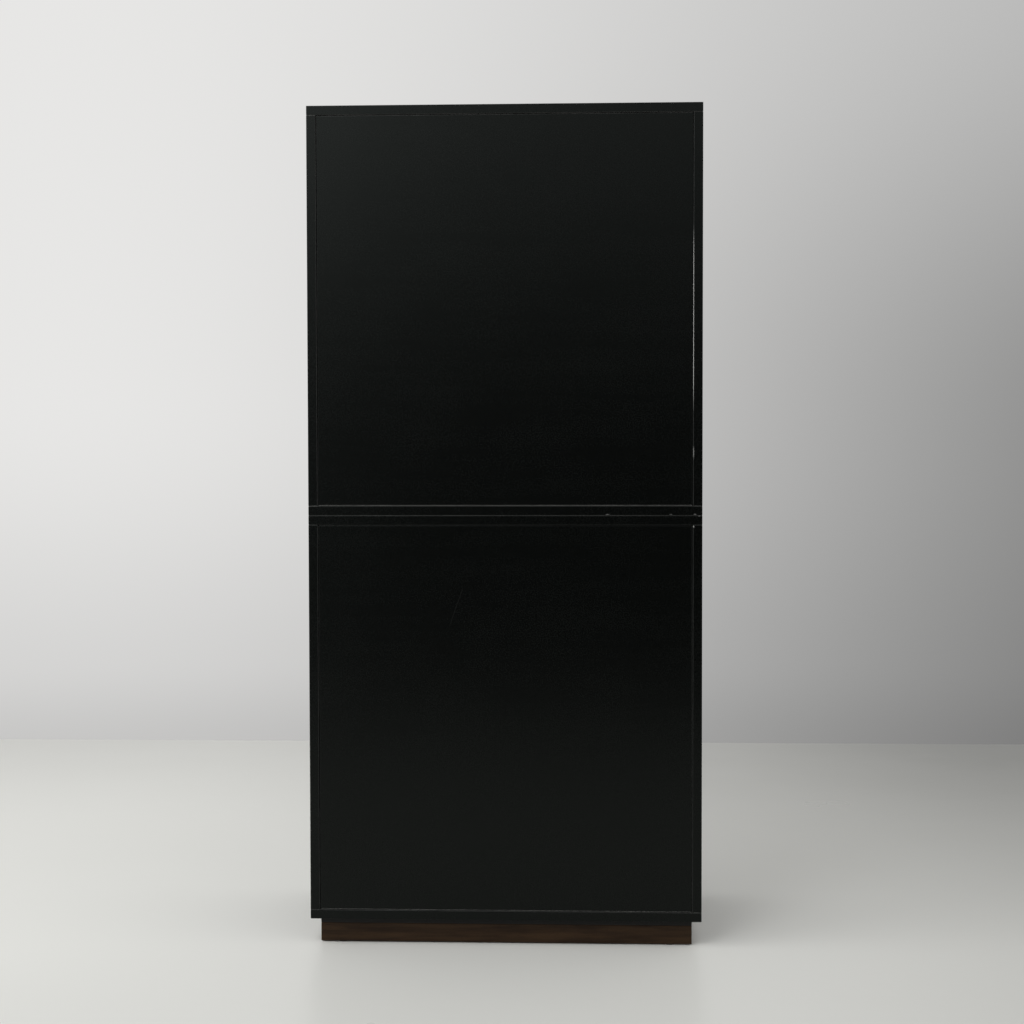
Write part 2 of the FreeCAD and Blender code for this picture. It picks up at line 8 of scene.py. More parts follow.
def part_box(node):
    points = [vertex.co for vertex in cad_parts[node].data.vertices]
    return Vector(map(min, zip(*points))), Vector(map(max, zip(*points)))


# A tall black cabinet of two stacked boxes on a low brown plinth, in a pale studio lit from the upper left.
# Metres, +Z up, front towards -Y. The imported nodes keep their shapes, and each gets its finish here.

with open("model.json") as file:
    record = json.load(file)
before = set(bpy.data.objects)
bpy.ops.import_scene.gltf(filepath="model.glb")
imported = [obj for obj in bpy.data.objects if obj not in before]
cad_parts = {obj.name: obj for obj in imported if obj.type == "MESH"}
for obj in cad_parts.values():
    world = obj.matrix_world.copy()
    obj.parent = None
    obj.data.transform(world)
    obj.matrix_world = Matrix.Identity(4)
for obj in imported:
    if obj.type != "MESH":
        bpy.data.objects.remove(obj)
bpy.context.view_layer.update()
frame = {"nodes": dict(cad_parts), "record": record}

# Camera, at the photograph's viewing angle
CAMERA_PLACE = Vector((0.165, -3.680, 0.972))
CAMERA_YAW = math.radians(-2.49)
CAMERA_PITCH = math.radians(-2.12)
CAMERA_ROLL = math.radians(-0.10)
LENS_MM = 63.28
SENSOR_MM = 36.0

# Soft lights: a wide one at the left, and a smaller one above the front
KEY_PLACE = Vector((-3.4, -1.6, 3.0))
KEY_TARGET = Vector((0.0, 0.0, 0.8))
KEY_SIZE = 4.0
KEY_POWER = 60.0
TOP_PLACE = Vector((-0.9, -2.4, 3.3))
TOP_TARGET = Vector((0.0, -0.2, 1.2))
TOP_SIZE = 1.3
TOP_POWER = 20.0

# Studio floor: its reach, its pale colour and its colour in painted shade, and its faint gloss
FLOOR_HALF_WIDTH = 7.0
FLOOR_FRONT = -2.9
FLOOR_BACK = 2.19
FLOOR_PALE = (0.80, 0.80, 0.77, 1.0)
FLOOR_SHADED = (0.30, 0.30, 0.289, 1.0)
FLOOR_SPECULAR = 0.07
FLOOR_ROUGHNESS_LEAST = 0.27
FLOOR_ROUGHNESS_MOST = 0.33

# Painted shades of the floor: between which places in X or Y each one sets in, and its strength
RIGHT_SHADE_X = (0.3, 1.6)
RIGHT_SHADE = 0.45
BEHIND_SHADE_X = (-1.2, 0.5)
BEHIND_SHADE_Y = (-0.4, 1.5)
BEHIND_SHADE = 0.36
FAR_SHADE_Y = (0.9, 2.4)
FAR_SHADE = 0.22
NEAR_SHADE_X = (-0.2, 1.2)
NEAR_SHADE_Y = (-0.95, -0.15)
NEAR_SHADE = 0.14
NEAR_SHADE_RIGHT_SHARE = 0.4

# Studio wall and ceiling. Borders are directions of sight: how far right, away or up a unit vector goes.
# Painted shade on the wall: darker at the right, at its foot and along its line with the floor
WALL_LEFT = (0.80, 0.795, 0.785, 1.0)
WALL_RIGHT = (0.196, 0.196, 0.195, 1.0)
WALL_RIGHT_HIGH = (0.44, 0.44, 0.437, 1.0)
CEILING_COLOUR = (0.58, 0.58, 0.57, 1.0)
WALL_RIGHT_RISE = (0.0, 0.26)
WALL_RIGHT_BEGINS = (-0.30, 0.42)
WALL_RIGHT_ENDS = (0.25, 0.42)
WALL_BEHIND = (0.2, 0.8)
WALL_FOOT = (-0.16, 0.03)
WALL_FOOT_LIGHT = 0.80
WALL_LINE = (-0.168, -0.115)
WALL_LINE_LIGHT = 0.875
CEILING_RISE = (0.35, 0.9)

# A screen behind the camera for the satin front to reflect: dark at eye level and bright above
SCREEN_HALF_WIDTH = 5.0
SCREEN_Y = -6.2
SCREEN_LOW = -1.0
SCREEN_HIGH = 4.5
SCREEN_DARK_LEFT = 0.42
SCREEN_DARK_RIGHT = 0.03
SCREEN_DARK_X = (-1.91, -0.97)
SCREEN_BRIGHT_LEFT = 2.3
SCREEN_BRIGHT_RIGHT = 0.80
SCREEN_BRIGHT_X = (-2.29, -0.31)
SCREEN_BRIGHT_Z = (1.10, 3.40)
SCREEN_TINT = (0.98, 1.0, 1.0)

# Black laminate: its colours, and how strongly its marks show
BLACK = (0.0006, 0.0008, 0.0007, 1.0)
BLACK_SMUDGED = (0.0023, 0.0026, 0.0024, 1.0)
# Inside colours: the laminate painted lighter, as painted light for the shaded inside of the box
INSIDE_PAINTED_LIT = (0.0115, 0.0118, 0.0116, 1.0)
INSIDE_PAINTED_LIT_SMUDGED = (0.0165, 0.0168, 0.0165, 1.0)
SHEEN_TINT = (0.95, 1.03, 0.98, 1.0)
SCUFFED_AND_HIGHLIT = (0.62, 0.62, 0.605, 1.0)
DUST = (0.30, 0.29, 0.27, 1.0)
LAMINATE_SPECULAR = 0.174
SMUDGE_SHARE = 0.35
MOTTLE_SHARE = 0.65
DUST_SHARE = 0.045
DUST_LEAST_PART = 0.35
SCRATCH_SHARE = 0.015
STREAK_STRETCH = (3.0, 3.0, 40.0)

# The laminate's least roughness, and what each mark adds to it
LAMINATE_ROUGHNESS = 0.165
SMUDGE_ROUGHNESS = 0.06
STREAK_ROUGHNESS = 0.05
MOTTLE_ROUGHNESS = 0.06
WORN_ROUGHNESS = 0.25
DUST_ROUGHNESS = 2.0
INSIDE_ROUGHNESS = 0.2

# Relief of the laminate
PEARL_HEIGHT = 6e-6
PEEL_HEIGHT = 3.2e-5
WEAR_DEPTH = 1.2e-4

# How squarely a face looks some way, as a cosine, before it counts in part and in full
FACING_PART = 0.6
FACING_FULL = 0.95

# The way from each kind of board to the inside of its box. A shelf has both its faces inside.
INWARD = {
    "top_panel": Vector((0.0, 0.0, -1.0)),
    "bottom_panel": Vector((0.0, 0.0, 1.0)),
    "left_side": Vector((1.0, 0.0, 0.0)),
    "right_side": Vector((-1.0, 0.0, 0.0)),
    "door": Vector((0.0, 1.0, 0.0)),
    "shelf": Vector((0.0, 0.0, 1.0)),
}

# How far the pale edge, worn and painted with highlights, reaches in from an edge, how far it wanders, and
# its least share along an edge
WEAR_FULL = 0.0005
WEAR_NONE = 0.0012
WEAR_WANDER = 0.0005
WEAR_LEAST_SHARE = 0.65

# Paleness of the four edges of each board's front: wear, and painted highlight on edges that face the
# light.
# A fifth entry is that of the left edge over a stretch around one height. Past 1, the edge looks no paler
# but reaches further in.
FRONT_EDGES = ("Left", "Right", "Bottom", "Top")
BOARD_WEAR_AND_HIGHLIGHT = {
    "upper_top_panel": {"Bottom": 0.11},
    "upper_bottom_panel": {"Top": 0.04, "Bottom": 0.073},
    "upper_left_side": {"Right": 0.12, "Top": 0.27, "Bottom": 0.70},
    "upper_right_side": {"Left": 0.055, "Top": 0.09, "Bottom": 0.29, "Band": 2.0},
    "upper_shelf": {},
    "upper_door": {"Left": 0.02, "Top": 0.13, "Bottom": 0.77, "Right": 0.03},
    "lower_top_panel": {"Top": 0.092, "Bottom": 0.005},
    "lower_bottom_panel": {"Top": 0.065},
    "lower_left_side": {"Right": 0.085, "Top": 0.11, "Bottom": 0.15},
    "lower_right_side": {"Left": 0.064, "Top": 0.08, "Bottom": 0.40},
    "lower_shelf": {},
    "lower_door": {"Left": 0.04, "Top": 0.01, "Bottom": 0.80, "Right": 0.087},
}

# Wear of every other edge of a board
OTHER_WEAR = 0.02

# Height above the floor of the left edge's paler stretch, and how far above and below it that stretch is
# full and has ended
BAND_HEIGHT = 1.214
BAND_FULL = 0.10
BAND_NONE = 0.185

# Chips in the front edges: how far from the board's left and bottom, half width, half height and strength
CHIPS = {
    "upper_bottom_panel": [
        (0.7456, 0.0023, 0.0040, 0.0014, 0.20),
        (0.6999, 0.0021, 0.0040, 0.0012, 0.14),
        (0.5778, 0.0021, 0.0045, 0.0013, 0.19),
    ],
    "upper_right_side": [(0.0005, 0.1030, 0.0018, 0.0160, 0.27)],
    "lower_top_panel": [(0.7540, 0.0172, 0.0030, 0.0013, 0.20)],
    "lower_right_side": [(0.0012, 0.7480, 0.0020, 0.0028, 0.48)],
}

# How far behind the front the chips lie, half their depth, how far noise moves their border, and where that
# border begins and ends, in half sizes with the noise added
CHIP_BEHIND = 0.0005
CHIP_HALF_DEPTH = 0.0030
CHIP_WANDER = 2.4
CHIP_FULL = 1.55
CHIP_NONE = 2.05

# A hairline scratch on a board's front: its two ends from the board's left and bottom, and its width
SCRATCHES = {"lower_door": ((0.2818, 0.6328), (0.2528, 0.5508), 0.0009)}

# The parts of a scratch's length, from its middle, at which it begins to fade and has ended
SCRATCH_FADES = 0.35
SCRATCH_ENDS = 0.5

# Matt black board
MATT_DARK = (0.010, 0.010, 0.0097, 1.0)
MATT_PALE = (0.017, 0.0166, 0.016, 1.0)
MATT_FIBRE = (0.026, 0.0254, 0.0246, 1.0)
MATT_FIBRE_SHARE = 0.35
MATT_STRETCH = (1.0, 1.0, 0.4)
MATT_SPECULAR = 0.2
MATT_ROUGHNESS = 0.52
MATT_PATCH_ROUGHNESS = 0.16
MATT_FIBRE_ROUGHNESS = 0.1
MATT_FIBRE_HEIGHT = 2.2e-5
MATT_PATCH_HEIGHT = 5e-5

# Wood: colours, how fast the pattern changes along each axis, sheen, and how strongly fibres and pores show
BROWN_DARK = (0.0172, 0.0087, 0.0041, 1.0)
BROWN_PALE = (0.0472, 0.0255, 0.0114, 1.0)
SOFTWOOD_DARK = (0.36, 0.22, 0.11, 1.0)
SOFTWOOD_PALE = (0.60, 0.44, 0.27, 1.0)
BEECH_DARK = (0.42, 0.27, 0.16, 1.0)
BEECH_PALE = (0.60, 0.43, 0.28, 1.0)
GRAIN_ALONG_X = (5.0, 70.0, 70.0)
GRAIN_ALONG_Y = (70.0, 5.0, 70.0)
GRAIN_ALONG_Z = (70.0, 70.0, 5.0)
STAINED_ROUGHNESS = 0.38
STAINED_SPECULAR = 0.15
BARE_ROUGHNESS = 0.55
BARE_SPECULAR = 0.35
FIBRE_SHARE = 0.45
PORE_SHARE = 0.6
PORE_LIGHT = 0.45
FIBRE_ROUGHNESS = 0.18
PORE_ROUGHNESS = 0.15
FIBRE_HEIGHT = 2.5e-5
PORE_DEPTH = 4e-5
FIGURE_HEIGHT = 2e-5

# Metal: colours, and how fast the brush marks change along each axis
BLACKENED_DARK = (0.012, 0.012, 0.013, 1.0)
HINGE_PALE = (0.034, 0.034, 0.036, 1.0)
OXIDE_PALE = (0.030, 0.030, 0.032, 1.0)
ZINC_DARK = (0.42, 0.42, 0.40, 1.0)
ZINC_PALE = (0.60, 0.60, 0.59, 1.0)
NICKEL_DARK = (0.46, 0.44, 0.41, 1.0)
NICKEL_PALE = (0.60, 0.58, 0.55, 1.0)
LONG_MARKS = (60.0, 2500.0, 2500.0)
EVEN_MARKS = (900.0, 900.0, 900.0)
METAL_SPECULAR = 0.5
MARK_ROUGHNESS = 0.14
TARNISH_ROUGHNESS = 0.16

# Plastic
PLASTIC_DARK = (0.014, 0.014, 0.014, 1.0)
PLASTIC_PALE = (0.022, 0.022, 0.022, 1.0)
NYLON_DARK = (0.040, 0.036, 0.032, 1.0)
NYLON_PALE = (0.058, 0.053, 0.048, 1.0)
PLASTIC_SPECULAR = 0.4
PLASTIC_ROUGHNESS = 0.4
GRAIN_ROUGHNESS = 0.12
CLOUD_ROUGHNESS = 0.12


class Nodes:
    """Adds nodes to one tree and links them. Most methods return the output that carries their result."""

    def __init__(self, tree):
        self.tree = tree

    def add(self, kind):
        return self.tree.nodes.new("ShaderNode" + kind)

    def feed(self, socket, value):
        """Links an output to a socket, or sets a plain value on it."""
        if isinstance(value, bpy.types.NodeSocket):
            self.tree.links.new(value, socket)
        else:
            socket.default_value = value

    def place(self):
        """The point on the piece, in the frame's metres at rest."""
        return self.add("TexCoord").outputs["Object"]

    def math(self, operation, a, b=0.0):
        node = self.add("Math")
        node.operation = operation
        self.feed(node.inputs[0], a)
        self.feed(node.inputs[1], b)
        return node.outputs[0]

    def vector(self, operation, a, b):
        node = self.add("VectorMath")
        node.operation = operation
        self.feed(node.inputs[0], a)
        self.feed(node.inputs[1], b)
        return node.outputs[0]

    def measure(self, operation, a, b=(0.0, 0.0, 0.0)):
        """A number from one or two vectors, such as a length or a dot product."""
        node = self.add("VectorMath")
        node.operation = operation
        self.feed(node.inputs[0], a)
        self.feed(node.inputs[1], b)
        return node.outputs["Value"]

    def split(self, vector):
        node = self.add("SeparateXYZ")
        self.feed(node.inputs[0], vector)
        return node.outputs[0], node.outputs[1], node.outputs[2]

    def step(self, value, low, high, at_low=0.0, at_high=1.0):
        """A smooth step between two values of its input."""
        node = self.add("MapRange")
        node.interpolation_type = "SMOOTHSTEP"
        for socket, given in zip(node.inputs, (value, low, high, at_low, at_high)):
            self.feed(socket, given)
        return node.outputs[0]

    def fall(self, value, low, high):
        """A smooth step from 1 down to 0."""
        return self.step(value, low, high, at_low=1.0, at_high=0.0)

    def noise(self, vector, scale, detail=2.0, roughness=0.5):
        node = self.add("TexNoise")
        self.feed(node.inputs["Vector"], vector)
        self.feed(node.inputs["Scale"], scale)
        self.feed(node.inputs["Detail"], detail)
        self.feed(node.inputs["Roughness"], roughness)
        return node.outputs["Fac"]

    def blend(self, share, a, b):
        """Colour a where the share is 0, and colour b where it is 1."""
        node = self.add("Mix")
        node.data_type = "RGBA"
        self.feed(node.inputs["Factor"], share)
        self.feed(node.inputs[6], a)
        self.feed(node.inputs[7], b)
        return node.outputs[2]

    def weigh(self, *terms):
        """The sum of some values, each times its weight."""
        total = 0.0
        for value, weight in terms:
            total = self.math("ADD", total, self.math("MULTIPLY", value, weight))
        return total

    def bump(self, height):
        """The surface's normal under a relief whose height is in metres."""
        node = self.add("Bump")
        node.inputs["Strength"].default_value = 1.0
        node.inputs["Distance"].default_value = 1.0
        self.feed(node.inputs["Height"], height)
        return node.outputs["Normal"]


def new_material(name, specular, metallic=0.0):
    """An empty material: itself, its nodes and its shader."""
    material = bpy.data.materials.new(name)
    material.use_nodes = True
    tree = material.node_tree
    tree.nodes.clear()
    nodes = Nodes(tree)
    shader = nodes.add("BsdfPrincipled")
    shader.inputs["Specular IOR Level"].default_value = specular
    shader.inputs["Metallic"].default_value = metallic
    output = nodes.add("OutputMaterial")
    tree.links.new(shader.outputs[0], output.inputs["Surface"])
    return material, nodes, shader


def finish_shader(nodes, shader, colour, roughness, height):
    nodes.feed(shader.inputs["Base Color"], colour)
    nodes.feed(shader.inputs["Roughness"], roughness)
    nodes.feed(shader.inputs["Normal"], nodes.bump(height))


def find_near_edge(nodes, distance, ragged):
    """1 close to an edge and 0 away from it, with a ragged border."""
    return nodes.fall(nodes.math("ADD", distance, ragged), WEAR_FULL, WEAR_NONE)


def find_middle(nodes, a, b, c):
    """The middle one of three distances to faces. It is small only near two of them, along an edge."""
    lesser = nodes.math("MINIMUM", a, b)
    greater = nodes.math("MAXIMUM", a, b)
    return nodes.math("MAXIMUM", lesser, nodes.math("MINIMUM", greater, c))


def make_edge_wear_and_highlight_group():
    """A node group that gives how pale a board is along its edges, worn and painted with highlights, from
    its box and each edge's strength.

    The four edges of the front are pale unevenly along their length, and the others only in patches.
    """
    tree = bpy.data.node_groups.new("edge_wear_and_highlight", "ShaderNodeTree")
    for name in ("Low", "High"):
        tree.interface.new_socket(name, in_out="INPUT", socket_type="NodeSocketVector")
    for name in FRONT_EDGES + ("Others",):
        tree.interface.new_socket(name, in_out="INPUT", socket_type="NodeSocketFloat")
    tree.interface.new_socket("Worn_and_highlit", in_out="OUTPUT", socket_type="NodeSocketFloat")
    nodes = Nodes(tree)
    given = tree.nodes.new("NodeGroupInput").outputs
    place = nodes.place()
    left, front, bottom = nodes.split(nodes.vector("SUBTRACT", place, given["Low"]))
    right, back, top = nodes.split(nodes.vector("SUBTRACT", given["High"], place))
    ragged = nodes.math("MULTIPLY", nodes.noise(place, scale=300.0, detail=3.0), WEAR_WANDER)
    variation = nodes.noise(place, scale=22.0, detail=4.0, roughness=0.65)
    uneven = nodes.step(variation, low=0.32, high=0.62, at_low=WEAR_LEAST_SHARE)
    patches = nodes.step(nodes.noise(place, scale=60.0, detail=5.0, roughness=0.7), low=0.52, high=0.66)

    worn_and_highlit = 0.0
    for name, side in zip(FRONT_EDGES, (left, right, bottom, top)):
        edge = find_near_edge(nodes, nodes.math("MAXIMUM", front, side), ragged)
        worn_and_highlit = nodes.math("MAXIMUM", worn_and_highlit, nodes.math("MULTIPLY", edge, given[name]))
    across = nodes.math("MINIMUM", left, right)
    along = nodes.math("MINIMUM", front, back)
    upward = nodes.math("MINIMUM", bottom, top)
    any_edge = find_near_edge(nodes, find_middle(nodes, across, along, upward), ragged)
    others = nodes.math("MULTIPLY", nodes.math("MULTIPLY", any_edge, patches), given["Others"])
    worn_and_highlit = nodes.math("MAXIMUM", nodes.math("MULTIPLY", worn_and_highlit, uneven), others)
    nodes.feed(tree.nodes.new("NodeGroupOutput").inputs["Worn_and_highlit"], worn_and_highlit)
    return tree


def add_edge_wear_and_highlight(nodes, group, low, high, wear):
    """How pale one board is along its edges: wear, and painted highlight."""
    node = nodes.add("Group")
    node.node_tree = group
    node.inputs["Low"].default_value = low
    node.inputs["High"].default_value = high
    node.inputs["Others"].default_value = OTHER_WEAR
    for name in FRONT_EDGES:
        nodes.feed(node.inputs[name], wear.get(name, 0.0))
    return node.outputs["Worn_and_highlit"]


def add_chip(nodes, place, middle, half_size):
    """A ragged chip in an edge: 1 at its middle and 0 outside it."""
    scale = Vector([1.0 / half for half in half_size])
    offset = nodes.vector("MULTIPLY", nodes.vector("SUBTRACT", place, middle), scale)
    ragged = nodes.noise(place, scale=650.0, detail=4.0, roughness=0.7)
    reach = nodes.weigh((nodes.measure("LENGTH", offset), 1.0), (ragged, CHIP_WANDER))
    return nodes.fall(reach, CHIP_FULL, CHIP_NONE)


def add_scratch(nodes, place, start, end, width):
    """A hairline scratch between two points of a board's front: 1 on the line and 0 off it."""
    run = end - start
    length = run.length
    along_way = run / length
    across_way = Vector((-along_way.z, 0.0, along_way.x))
    offset = nodes.vector("SUBTRACT", place, start)
    across = nodes.measure("DOT_PRODUCT", offset, across_way)
    line = nodes.fall(nodes.math("ABSOLUTE", across), 0.0, width)
    along = nodes.measure("DOT_PRODUCT", offset, along_way)
    from_middle = nodes.math("ABSOLUTE", nodes.math("SUBTRACT", along, length / 2))
    within = nodes.fall(from_middle, length * SCRATCH_FADES, length * SCRATCH_ENDS)
    return nodes.math("MULTIPLY", line, within)


def find_wear_and_highlight(nodes, place, node_name, group):
    """How pale a board is: along its edges, worn and painted with highlights, over a stretch of one edge at
    one height, and at its chips.
    """
    low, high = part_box(node_name)
    wear = dict(BOARD_WEAR_AND_HIGHLIGHT[node_name])
    if "Band" in wear:
        height = nodes.split(place)[2]
        away = nodes.math("ABSOLUTE", nodes.math("SUBTRACT", height, BAND_HEIGHT))
        wear["Left"] = nodes.step(away, BAND_FULL, BAND_NONE, at_low=wear["Band"], at_high=wear["Left"])
    worn_and_highlit = add_edge_wear_and_highlight(nodes, group, low, high, wear)
    for across, upward, half_width, half_height, strength in CHIPS.get(node_name, []):
        middle = low + Vector((across, CHIP_BEHIND, upward))
        chip = add_chip(nodes, place, middle, (half_width, CHIP_HALF_DEPTH, half_height))
        worn_and_highlit = nodes.math("MAXIMUM", worn_and_highlit, nodes.math("MULTIPLY", chip, strength))
    return worn_and_highlit


def find_scratch(nodes, place, node_name):
    """The scratch on one board's front."""
    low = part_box(node_name)[0]
    start, end, width = SCRATCHES[node_name]
    start_point = low + Vector((start[0], 0.0, start[1]))
    end_point = low + Vector((end[0], 0.0, end[1]))
    return add_scratch(nodes, place, start_point, end_point, width)


def find_dust(nodes, place):
    """The share of dust: a thin, uneven film on the faces that look up."""
    facing = nodes.split(nodes.add("NewGeometry").outputs["Normal"])[2]
    lying = nodes.step(facing, FACING_PART, FACING_FULL, at_high=DUST_SHARE)
    variation = nodes.noise(place, scale=9.0, detail=8.0, roughness=0.7)
    film = nodes.step(variation, low=0.3, high=0.8, at_low=DUST_LEAST_PART)
    return nodes.math("MULTIPLY", lying, film)


def find_inside(nodes, node_name):
    """1 on the faces of a board that are inside its box, and 0 on its others."""
    board = node_name.split("_", 1)[1]
    turned_in = nodes.measure("DOT_PRODUCT", nodes.add("TexCoord").outputs["Normal"], INWARD[board])
    if board == "shelf":
        turned_in = nodes.math("ABSOLUTE", turned_in)
    return nodes.step(turned_in, FACING_PART, FACING_FULL)


def make_laminate(node_name, group):
    """Satin black laminate on one board: pearl relief, smudges, wiped streaks, dust on top, and edges worn
    and painted with highlights.

    The faces towards the inside of the box are rougher, and painted lighter as painted light for the shaded
    inside.
    """
    material, nodes, shader = new_material("black_laminate_" + node_name, LAMINATE_SPECULAR)
    shader.inputs["Specular Tint"].default_value = SHEEN_TINT
    place = nodes.place()
    worn_and_highlit = find_wear_and_highlight(nodes, place, node_name, group)
    dusty = find_dust(nodes, place)
    inside = find_inside(nodes, node_name)
    smudge = nodes.noise(place, scale=5.0, detail=4.0, roughness=0.6)
    streak = nodes.noise(nodes.vector("MULTIPLY", place, STREAK_STRETCH), scale=1.0, detail=3.0)
    pearl = nodes.noise(place, scale=1500.0, detail=1.0)
    peel = nodes.noise(place, scale=450.0, detail=2.0)
    mottle = nodes.step(nodes.noise(place, scale=430.0, detail=3.0), low=0.35, high=0.65)
    marks = nodes.weigh((smudge, SMUDGE_SHARE), (mottle, MOTTLE_SHARE))
    outer = nodes.blend(marks, BLACK, BLACK_SMUDGED)
    # Painted light: the inside faces are coloured lighter than the outside
    inner_painted_lit = nodes.blend(marks, INSIDE_PAINTED_LIT, INSIDE_PAINTED_LIT_SMUDGED)
    colour = nodes.blend(inside, outer, inner_painted_lit)
    colour = nodes.blend(dusty, colour, DUST)
    # Paler edges: wear, and painted highlight on the edges that face the light
    colour = nodes.blend(worn_and_highlit, colour, SCUFFED_AND_HIGHLIT)
    if node_name in SCRATCHES:
        scratch = nodes.math("MULTIPLY", find_scratch(nodes, place, node_name), SCRATCH_SHARE)
        colour = nodes.blend(scratch, colour, SCUFFED_AND_HIGHLIT)
    added_roughness = nodes.weigh(
        (smudge, SMUDGE_ROUGHNESS),
        (streak, STREAK_ROUGHNESS),
        (mottle, MOTTLE_ROUGHNESS),
        (worn_and_highlit, WORN_ROUGHNESS),
        (dusty, DUST_ROUGHNESS),
        (inside, INSIDE_ROUGHNESS),
    )
    roughness = nodes.math("ADD", added_roughness, LAMINATE_ROUGHNESS)
    height = nodes.weigh((pearl, PEARL_HEIGHT), (peel, PEEL_HEIGHT), (worn_and_highlit, -WEAR_DEPTH))
    finish_shader(nodes, shader, colour, roughness, height)
    return material


def make_matt_board():
    """Matt black board: a dull, fibrous face."""
    material, nodes, shader = new_material("matt_black_board", MATT_SPECULAR)
    place = nodes.place()
    stretched = nodes.vector("MULTIPLY", place, MATT_STRETCH)
    fibre = nodes.noise(stretched, scale=420.0, detail=4.0, roughness=0.6)
    patch = nodes.noise(place, scale=7.0, detail=4.0, roughness=0.6)
    colour = nodes.blend(patch, MATT_DARK, MATT_PALE)
    fibre_share = nodes.step(fibre, low=0.45, high=0.8, at_high=MATT_FIBRE_SHARE)
    colour = nodes.blend(fibre_share, colour, MATT_FIBRE)
    added_roughness = nodes.weigh((patch, MATT_PATCH_ROUGHNESS), (fibre, MATT_FIBRE_ROUGHNESS))
    roughness = nodes.math("ADD", added_roughness, MATT_ROUGHNESS)
    height = nodes.weigh((fibre, MATT_FIBRE_HEIGHT), (patch, MATT_PATCH_HEIGHT))
    finish_shader(nodes, shader, colour, roughness, height)
    return material


def make_wood(name, stretch, dark, pale, roughness_low, specular):
    """Wood with its grain along one axis. The stretch is how fast the pattern changes along each axis."""
    material, nodes, shader = new_material(name, specular)
    along = nodes.vector("MULTIPLY", nodes.place(), stretch)
    wander = nodes.noise(along, scale=0.6, detail=3.0)
    figure = nodes.noise(nodes.vector("ADD", along, wander), scale=1.6, detail=5.0, roughness=0.6)
    fibre = nodes.noise(along, scale=14.0, detail=4.0, roughness=0.65)
    pores = nodes.step(nodes.noise(along, scale=26.0, detail=2.0), low=0.60, high=0.72)
    pore_colour = [part * PORE_LIGHT for part in dark[:3]] + [1.0]
    colour = nodes.blend(nodes.step(figure, low=0.3, high=0.7), dark, pale)
    colour = nodes.blend(nodes.math("MULTIPLY", fibre, FIBRE_SHARE), colour, dark)
    colour = nodes.blend(nodes.math("MULTIPLY", pores, PORE_SHARE), colour, pore_colour)
    added_roughness = nodes.weigh((fibre, FIBRE_ROUGHNESS), (pores, PORE_ROUGHNESS))
    roughness = nodes.math("ADD", added_roughness, roughness_low)
    height = nodes.weigh((fibre, FIBRE_HEIGHT), (pores, -PORE_DEPTH), (figure, FIGURE_HEIGHT))
    finish_shader(nodes, shader, colour, roughness, height)
    return material


def make_metal(name, dark, pale, stretch, roughness_low, mark_height):
    """Metal with fine brush marks along one axis and a dulled, uneven sheen."""
    material, nodes, shader = new_material(name, METAL_SPECULAR, metallic=1.0)
    place = nodes.place()
    marks = nodes.noise(nodes.vector("MULTIPLY", place, stretch), scale=1.0, detail=3.0, roughness=0.6)
    tarnish = nodes.noise(place, scale=90.0, detail=4.0, roughness=0.6)
    colour = nodes.blend(nodes.step(tarnish, low=0.35, high=0.75), pale, dark)
    added_roughness = nodes.weigh((marks, MARK_ROUGHNESS), (tarnish, TARNISH_ROUGHNESS))
    roughness = nodes.math("ADD", added_roughness, roughness_low)
    finish_shader(nodes, shader, colour, roughness, nodes.math("MULTIPLY", marks, mark_height))
    return material


def make_plastic(name, dark, pale, grain_height):
    """Moulded plastic with the fine texture of its mould."""
    material, nodes, shader = new_material(name, PLASTIC_SPECULAR)
    place = nodes.place()
    grain = nodes.noise(place, scale=1800.0, detail=2.0)
    cloud = nodes.noise(place, scale=60.0, detail=3.0)
    colour = nodes.blend(cloud, dark, pale)
    added_roughness = nodes.weigh((grain, GRAIN_ROUGHNESS), (cloud, CLOUD_ROUGHNESS))
    roughness = nodes.math("ADD", added_roughness, PLASTIC_ROUGHNESS)
    finish_shader(nodes, shader, colour, roughness, nodes.math("MULTIPLY", grain, grain_height))
    return material


def dress(node_name, material):
    """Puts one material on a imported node."""
    slots = frame["nodes"][node_name].data.materials
    slots.clear()
    slots.append(material)


def dress_boards():
    group = make_edge_wear_and_highlight_group()
    for node_name in BOARD_WEAR_AND_HIGHLIGHT:
        dress(node_name, make_laminate(node_name, group))


def dress_plinth():
    stained = (BROWN_DARK, BROWN_PALE, STAINED_ROUGHNESS, STAINED_SPECULAR)
    across = make_wood("brown_wood_across", GRAIN_ALONG_X, *stained)
    deep = make_wood("brown_wood_deep", GRAIN_ALONG_Y, *stained)
    for place in ("front", "back"):
        dress("plinth_" + place + "_rail", across)
    for place in ("left", "right"):
        dress("plinth_" + place + "_rail", deep)


